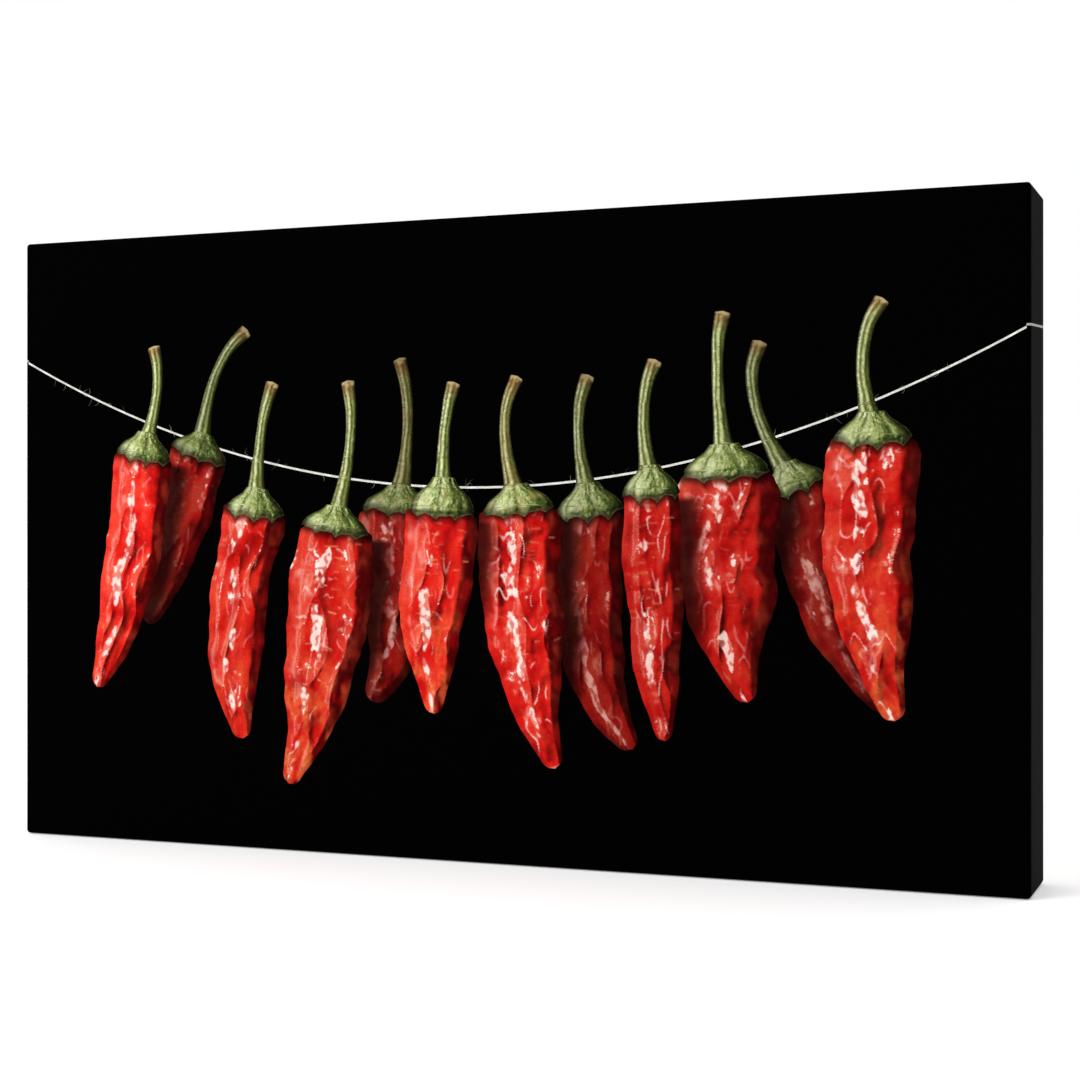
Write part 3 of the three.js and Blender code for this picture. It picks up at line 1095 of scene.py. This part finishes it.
def pine_material(name, along, seed):
    """Planed pine with its grain along X or Z."""
    n = Nodes(name)
    place = n.add("ShaderNodeTexCoord").outputs["Object"]
    lengthwise = (2.0, 60.0, 60.0) if along == "X" else (60.0, 60.0, 2.0)
    shift = (seed * 1.7, seed * 0.9, seed * 2.3)
    grain_place = n.stretch(place, lengthwise, shift)
    bend = n.noise(grain_place, 0.6, 2.0)
    rings = n.add(
        "ShaderNodeTexWave",
        {"Vector": grain_place, "Scale": 1.4, "Distortion": 5.0, "Detail": 2.5, "Detail Scale": 1.2},
        bands_direction="Y",
    ).outputs["Fac"]
    fibre = n.noise(n.stretch(place, tuple(14 * k for k in lengthwise), shift), 1.0, 3.0)
    pale, dark = (0.80, 0.60, 0.36, 1), (0.55, 0.33, 0.15, 1)
    late = n.math("MULTIPLY", n.ramp(rings, 0.45, 1.0), n.ramp(bend, 0.3, 0.7, 0.35, 0.95))
    wood = n.blend(late, pale, dark)
    wood = n.blend(n.ramp(fibre, 0.35, 0.75, 0.0, 0.35), wood, (0.90, 0.74, 0.52, 1))
    knots = n.add("ShaderNodeTexVoronoi", {"Vector": grain_place, "Scale": 0.09})
    knot = n.ramp(knots.outputs["Distance"], 0.06, 0.03)
    wood = n.blend(n.math("MULTIPLY", knot, 0.8), wood, (0.28, 0.13, 0.05, 1))
    bump = n.add("ShaderNodeBump", {"Strength": 0.35, "Distance": 0.0002, "Height": fibre})
    roughness = n.ramp(fibre, 0.2, 0.8, 0.72, 0.55)
    surface = {"Base Color": wood, "Roughness": roughness, "Normal": bump.outputs["Normal"]}
    return n.finish({**surface, "Specular IOR Level": 0.3})


def steel_material():
    n = Nodes("staple_steel")
    place = n.add("ShaderNodeTexCoord").outputs["Object"]
    scratch = n.noise(place, 900.0, 3.0)
    steel = n.blend(scratch, (0.34, 0.35, 0.37, 1), (0.58, 0.59, 0.61, 1))
    roughness = n.ramp(scratch, 0.2, 0.8, 0.25, 0.5)
    return n.finish({"Base Color": steel, "Roughness": roughness, "Metallic": 1.0})


# ---- The pieces ----


def place_canvas():
    canvas = make_canvas()
    canvas.data.materials.append(canvas_material())
    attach(canvas, "root")
    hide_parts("canvas")


def dress_bars():
    for seed, (name, along) in enumerate(
        [("bar_top", "X"), ("bar_bottom", "X"), ("bar_left", "Z"), ("bar_right", "Z")]
    ):
        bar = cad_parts[name]
        bar.data.materials.clear()
        bar.data.materials.append(pine_material(name + "_pine", along, seed))
        ease_edges = bar.modifiers.new("eased edges", "BEVEL")
        ease_edges.width = 0.4 * MM
        ease_edges.segments = 2
        ease_edges.limit_method = "ANGLE"
        ease_edges.angle_limit = math.radians(40)


STAPLE_WIDTH = 1.2
STAPLE_THICKNESS = 0.6
STAPLE_LEG = 2.2
STAPLE_BEND = 0.9  # the radius between a leg and the crown
STAPLE_SECTION = 12  # points round the wire
STAPLE_TOP = 0.62  # how far the crown's face stands above the back


def staple_mesh(length):
    """A crown lying in X with its face towards +Y, and two legs that go down into -Y."""
    half, bend, thickness = length / 2, STAPLE_BEND, STAPLE_THICKNESS
    path = [(-half, -STAPLE_LEG), (-half, -bend)]
    for step in range(1, 6):
        angle = math.pi - step / 6 * math.pi / 2
        path.append((-half + bend + bend * math.cos(angle), -bend + bend * math.sin(angle)))
    path += [(-half + bend, 0.0)]
    path += [(-x, y) for x, y in reversed(path)]
    path = np.array(path)
    along = np.gradient(path, axis=0)
    along /= np.hypot(*along.T)[:, None]
    outward = np.stack([-along[:, 1], along[:, 0]], 1)
    section = []
    for step in range(STAPLE_SECTION):
        angle = 2 * math.pi * (step + 0.5) / STAPLE_SECTION
        c, s = math.cos(angle), math.sin(angle)
        squared = (abs(c) ** 4 + abs(s) ** 4) ** -0.25
        section.append((c * squared * STAPLE_WIDTH / 2, s * squared * thickness / 2))
    vertices = []
    for (x, y), (ox, oy) in zip(path, outward):
        for across, out in section:
            vertices.append((x + ox * (out - thickness / 2), y + oy * (out - thickness / 2), across))
    faces = []
    for i in range(len(path) - 1):
        for k in range(STAPLE_SECTION):
            a, b = (i * STAPLE_SECTION + place for place in (k, (k + 1) % STAPLE_SECTION))
            faces.append((a, b, b + STAPLE_SECTION, a + STAPLE_SECTION))
    faces.append(tuple(range(STAPLE_SECTION))[::-1])
    last = (len(path) - 1) * STAPLE_SECTION
    faces.append(tuple(range(last, last + STAPLE_SECTION)))
    return np.array(vertices), faces


def place_staples():
    steel = steel_material()
    names = sorted(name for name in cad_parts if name.startswith("staple_"))
    draw = np.random.default_rng(8)
    for name in names:
        low, high = (np.array(corner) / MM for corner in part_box(name))
        upright = high[2] - low[2] > high[0] - low[0]
        length = max(high[0] - low[0], high[2] - low[2])
        vertices, faces = staple_mesh(length)
        turn = math.radians(draw.uniform(-4, 4)) + (math.pi / 2 if upright else 0)
        x = vertices[:, 0] * math.cos(turn) + vertices[:, 2] * math.sin(turn)
        z = -vertices[:, 0] * math.sin(turn) + vertices[:, 2] * math.cos(turn)
        centre = (low + high) / 2
        top = BACK_Y + STAPLE_TOP + draw.uniform(-0.05, 0.05)
        places = np.stack([centre[0] + x, top + vertices[:, 1], centre[2] + z], 1) * MM
        mesh = bpy.data.meshes.new(name + "_wire")
        mesh.from_pydata(places.tolist(), [], faces)
        mesh.shade_smooth()
        mesh.set_sharp_from_angle(angle=math.radians(60))
        mesh.materials.append(steel)
        staple = add_object(name + "_wire", mesh)
        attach(staple, "root")
        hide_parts(name)


# ---- The studio ----


def make_floor():
    mesh = bpy.data.meshes.new("floor")
    reach, level = 40.0, -0.05 * MM  # just below the print, so that no two faces share a plane
    corners = [(x * reach, y * reach, level) for x, y in [(-1, -1), (1, -1), (1, 1), (-1, 1)]]
    mesh.from_pydata(corners, [], [(0, 1, 2, 3)])
    paper = {"Base Color": (0.93, 0.93, 0.93, 1), "Roughness": 0.9, "Specular IOR Level": 0.0}
    glow = {"Emission Color": (1, 1, 1, 1), "Emission Strength": 0.18}
    mesh.materials.append(Nodes("floor_paper").finish({**paper, **glow}))
    add_object("floor", mesh)


def make_lamp(name, place, target, size, power):
    lamp = bpy.data.lights.new(name, "AREA")
    lamp.size = size
    lamp.energy = power
    holder = add_object(name, lamp)
    holder.location = place
    way = np.array(target) - np.array(place)
    tilt, turn = math.atan2(math.hypot(way[0], way[1]), -way[2]), math.atan2(-way[0], way[1])
    holder.rotation_euler = (tilt, 0, turn)


def make_light():
    world = bpy.data.worlds.new("studio")
    world.use_nodes = True
    world.node_tree.nodes["Background"].inputs["Color"].default_value = (1, 1, 1, 1)
    world.node_tree.nodes["Background"].inputs["Strength"].default_value = 1.0
    bpy.context.scene.world = world
    make_lamp("key", (-1.2, -1.6, 1.5), (0, 0, 0.15), 1.2, 22)


CAMERA_PLACE = (0.3572, -0.8602, 0.1548)  # in metres
CAMERA_TURN = 21.286  # degrees to the left of straight at the picture
CAMERA_LENS = 65.65
CAMERA_SHIFT = -0.0102


def make_camera():
    lens = bpy.data.cameras.new("camera")
    lens.sensor_width = 36
    lens.lens = CAMERA_LENS
    lens.shift_y = CAMERA_SHIFT
    camera = add_object("camera", lens)
    camera.location = CAMERA_PLACE
    camera.rotation_euler = (math.pi / 2, 0, math.radians(CAMERA_TURN))
    bpy.context.scene.camera = camera


make_camera()
make_light()
make_floor()
place_canvas()
dress_bars()
place_staples()

bpy.context.scene.view_settings.view_transform = "Standard"
